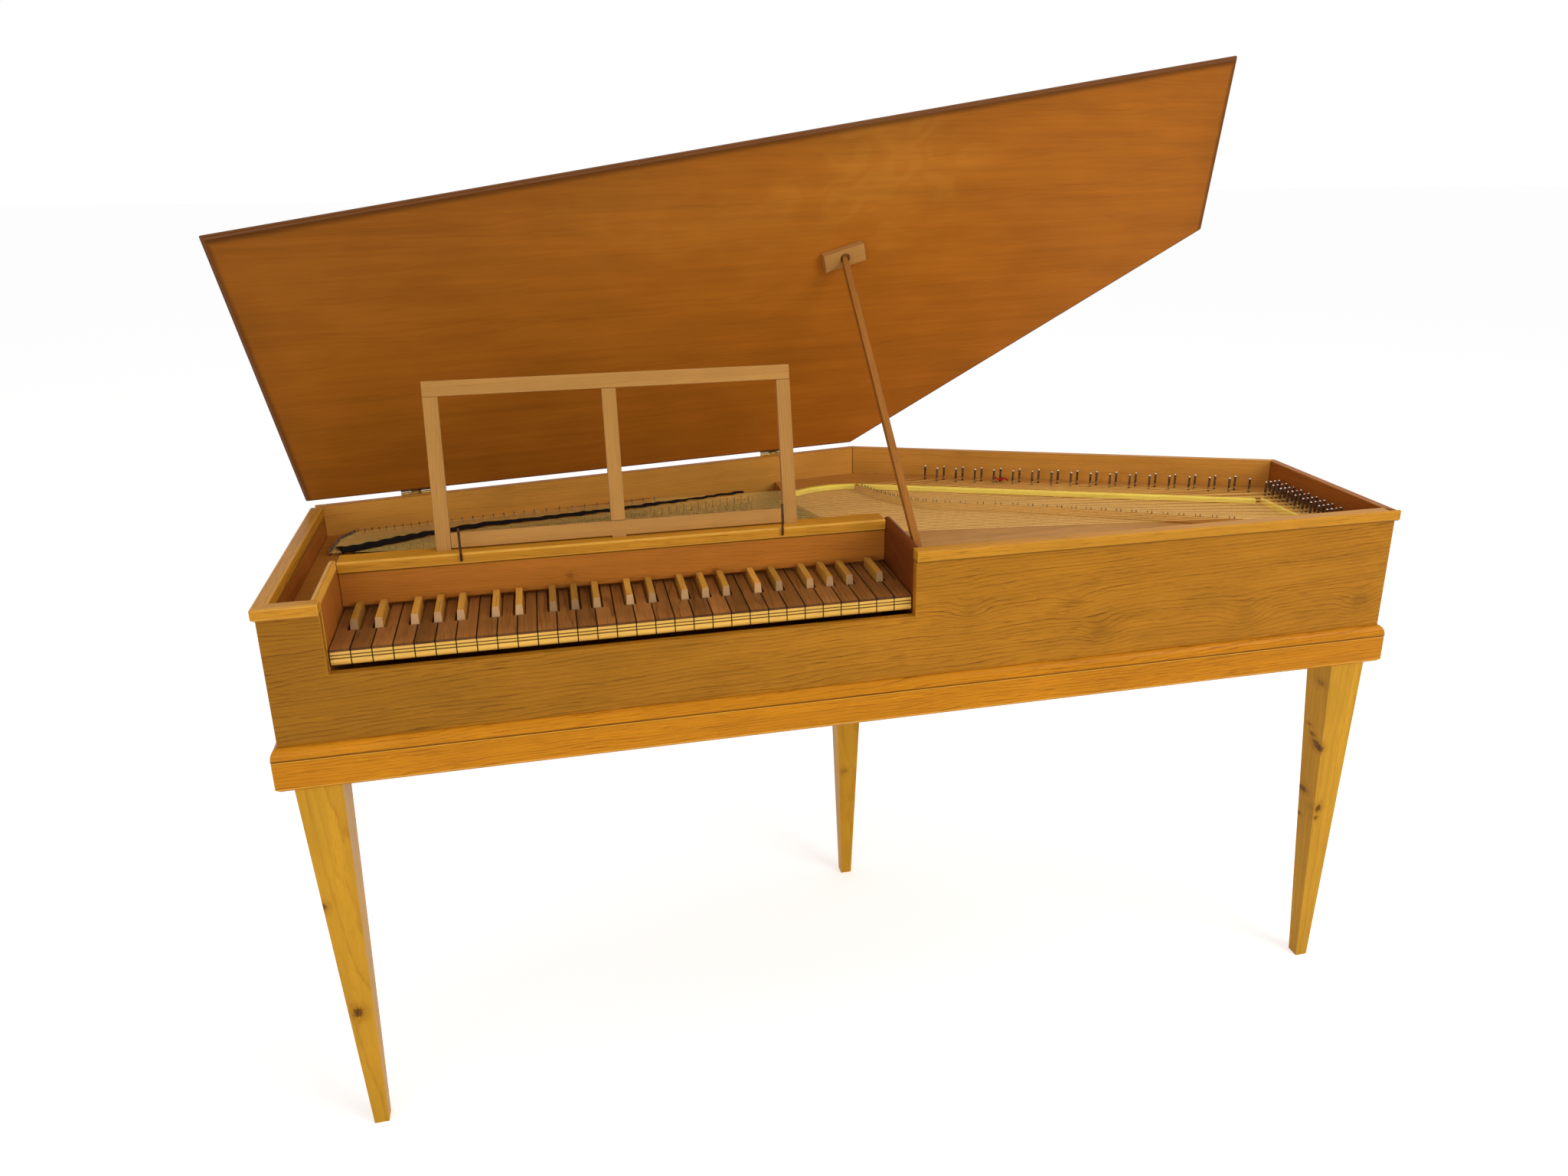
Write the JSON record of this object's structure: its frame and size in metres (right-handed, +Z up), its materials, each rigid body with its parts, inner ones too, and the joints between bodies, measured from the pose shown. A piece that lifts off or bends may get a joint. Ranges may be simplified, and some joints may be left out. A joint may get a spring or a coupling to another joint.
{
  "type": "clavichord",
  "caption": "Fretted clavichord in a five-sided pine case on a three-legged stand, lid propped open, music desk in place.",
  "frame": {"origin": "on the floor, under the middle of the box round the whole instrument with its lid open", "axes": "+X along the front from the bass end to the treble end, +Y from the player to the back, +Z up"},
  "size_m": [1.5076, 0.5448, 1.3284],
  "materials": {
    "case_pine": "satin",
    "moulding_wood": "satin",
    "cheek_wood": "satin",
    "stand_pine": "satin",
    "key_wood": "satin",
    "beech": "satin",
    "spruce": "matt",
    "bead_wood": "satin",
    "brass": "satin",
    "black_cloth": "matt",
    "lid_wood": "satin",
    "desk_wood": "matt",
    "dark_wire": "satin"
  },
  "bodies": {
    "instrument": {"front_wall": "case_pine", "left_wall": "case_pine", "right_wall": "case_pine", "spine": "case_pine", "angled_wall": "case_pine", "bottom_board": "case_pine", "nameboard": "case_pine", "cap_front_left": "moulding_wood", "cap_front_right": "moulding_wood", "cap_left": "moulding_wood", "nameboard_cap": "moulding_wood", "left_cheek": "cheek_wood", "right_cheek": "cheek_wood", "apron_front": "stand_pine", "apron_right": "stand_pine", "apron_angled": "stand_pine", "apron_spine": "stand_pine", "apron_left": "stand_pine", "moulding_front": "stand_pine", "moulding_right": "stand_pine", "moulding_left": "stand_pine", "cross_rail": "stand_pine", "leg_front_left": "stand_pine", "leg_front_right": "stand_pine", "leg_rear": "stand_pine", "balance_rail": "beech", "key_rack": "beech", "wrest_plank": "beech", "belly_rail": "beech", "hitch_rail": "beech", "soundboard": "spruce", "plank_bead": "bead_wood", "bridge_and_strings": "brass", "hinge_left_case_leaf": "brass", "hinge_right_case_leaf": "brass", "listing_cloth": "black_cloth", "lid_stick": "desk_wood"},
    "lid": {"lid_board": "lid_wood", "lid_socket": "desk_wood", "hinge_left_lid_leaf": "brass", "hinge_right_lid_leaf": "brass"},
    "desk": {"desk_stile_left": "desk_wood", "desk_stile_middle": "desk_wood", "desk_stile_right": "desk_wood", "desk_top_rail": "desk_wood", "desk_lower_rail": "desk_wood"},
    "page_pin_left": {"page_pin_left": "dark_wire"},
    "page_pin_right": {"page_pin_right": "dark_wire"},
    "key_c": {"key_c": "key_wood"},
    "key_c_sharp": {"key_c_sharp": "key_wood"},
    "key_d": {"key_d": "key_wood"},
    "key_d_sharp": {"key_d_sharp": "key_wood"},
    "key_e": {"key_e": "key_wood"},
    "key_f": {"key_f": "key_wood"},
    "key_f_sharp": {"key_f_sharp": "key_wood"},
    "key_g": {"key_g": "key_wood"},
    "key_g_sharp": {"key_g_sharp": "key_wood"},
    "key_a": {"key_a": "key_wood"},
    "key_a_sharp": {"key_a_sharp": "key_wood"},
    "key_b": {"key_b": "key_wood"}
  },
  "joints": [
    {"name": "lid_hinge", "type": "hinge", "parent": "instrument", "child": "lid", "pos_m": [-0.29273, 0.19825, 0.7275], "axis": [-0.9867, -0.1628, 0], "range_deg": [0, 40]},
    {"name": "desk_lift", "type": "slide", "parent": "instrument", "child": "desk", "axis": [0, 0.2079, 0.9781], "range_m": [0, 0.025]},
    {"name": "page_pin_left_turn", "type": "hinge", "parent": "instrument", "child": "page_pin_left", "pos_m": [-0.48916, -0.13443, 0.718], "axis": [0, 1, 0], "range_deg": [-80, 80]},
    {"name": "page_pin_right_turn", "type": "hinge", "parent": "instrument", "child": "page_pin_right", "pos_m": [-0.08416, -0.13443, 0.718], "axis": [0, 1, 0], "range_deg": [-80, 80]},
    {"name": "key_c_press", "type": "hinge", "parent": "instrument", "child": "key_c", "pos_m": [-0.30426, -0.05943, 0.6463], "axis": [1, 0, 0], "range_deg": [0, 1.5], "stiffness_Nm_per_rad": 0.1, "springref_deg": -28.65},
    {"name": "key_c_sharp_press", "type": "hinge", "parent": "instrument", "child": "key_c_sharp", "pos_m": [-0.29046, -0.05943, 0.6463], "axis": [1, 0, 0], "range_deg": [0, 1.5], "stiffness_Nm_per_rad": 0.1, "springref_deg": -28.65},
    {"name": "key_d_press", "type": "hinge", "parent": "instrument", "child": "key_d", "pos_m": [-0.27666, -0.05943, 0.6463], "axis": [1, 0, 0], "range_deg": [0, 1.5], "stiffness_Nm_per_rad": 0.1, "springref_deg": -28.65},
    {"name": "key_d_sharp_press", "type": "hinge", "parent": "instrument", "child": "key_d_sharp", "pos_m": [-0.26286, -0.05943, 0.6463], "axis": [1, 0, 0], "range_deg": [0, 1.5], "stiffness_Nm_per_rad": 0.1, "springref_deg": -28.65},
    {"name": "key_e_press", "type": "hinge", "parent": "instrument", "child": "key_e", "pos_m": [-0.24906, -0.05943, 0.6463], "axis": [1, 0, 0], "range_deg": [0, 1.5], "stiffness_Nm_per_rad": 0.1, "springref_deg": -28.65},
    {"name": "key_f_press", "type": "hinge", "parent": "instrument", "child": "key_f", "pos_m": [-0.23559, -0.05943, 0.6463], "axis": [1, 0, 0], "range_deg": [0, 1.5], "stiffness_Nm_per_rad": 0.1, "springref_deg": -28.65},
    {"name": "key_f_sharp_press", "type": "hinge", "parent": "instrument", "child": "key_f_sharp", "pos_m": [-0.22245, -0.05943, 0.6463], "axis": [1, 0, 0], "range_deg": [0, 1.5], "stiffness_Nm_per_rad": 0.1, "springref_deg": -28.65},
    {"name": "key_g_press", "type": "hinge", "parent": "instrument", "child": "key_g", "pos_m": [-0.2093, -0.05943, 0.6463], "axis": [1, 0, 0], "range_deg": [0, 1.5], "stiffness_Nm_per_rad": 0.1, "springref_deg": -28.65},
    {"name": "key_g_sharp_press", "type": "hinge", "parent": "instrument", "child": "key_g_sharp", "pos_m": [-0.19616, -0.05943, 0.6463], "axis": [1, 0, 0], "range_deg": [0, 1.5], "stiffness_Nm_per_rad": 0.1, "springref_deg": -28.65},
    {"name": "key_a_press", "type": "hinge", "parent": "instrument", "child": "key_a", "pos_m": [-0.18302, -0.05943, 0.6463], "axis": [1, 0, 0], "range_deg": [0, 1.5], "stiffness_Nm_per_rad": 0.1, "springref_deg": -28.65},
    {"name": "key_a_sharp_press", "type": "hinge", "parent": "instrument", "child": "key_a_sharp", "pos_m": [-0.16987, -0.05943, 0.6463], "axis": [1, 0, 0], "range_deg": [0, 1.5], "stiffness_Nm_per_rad": 0.1, "springref_deg": -28.65},
    {"name": "key_b_press", "type": "hinge", "parent": "instrument", "child": "key_b", "pos_m": [-0.15673, -0.05943, 0.6463], "axis": [1, 0, 0], "range_deg": [0, 1.5], "stiffness_Nm_per_rad": 0.1, "springref_deg": -28.65}
  ]
}
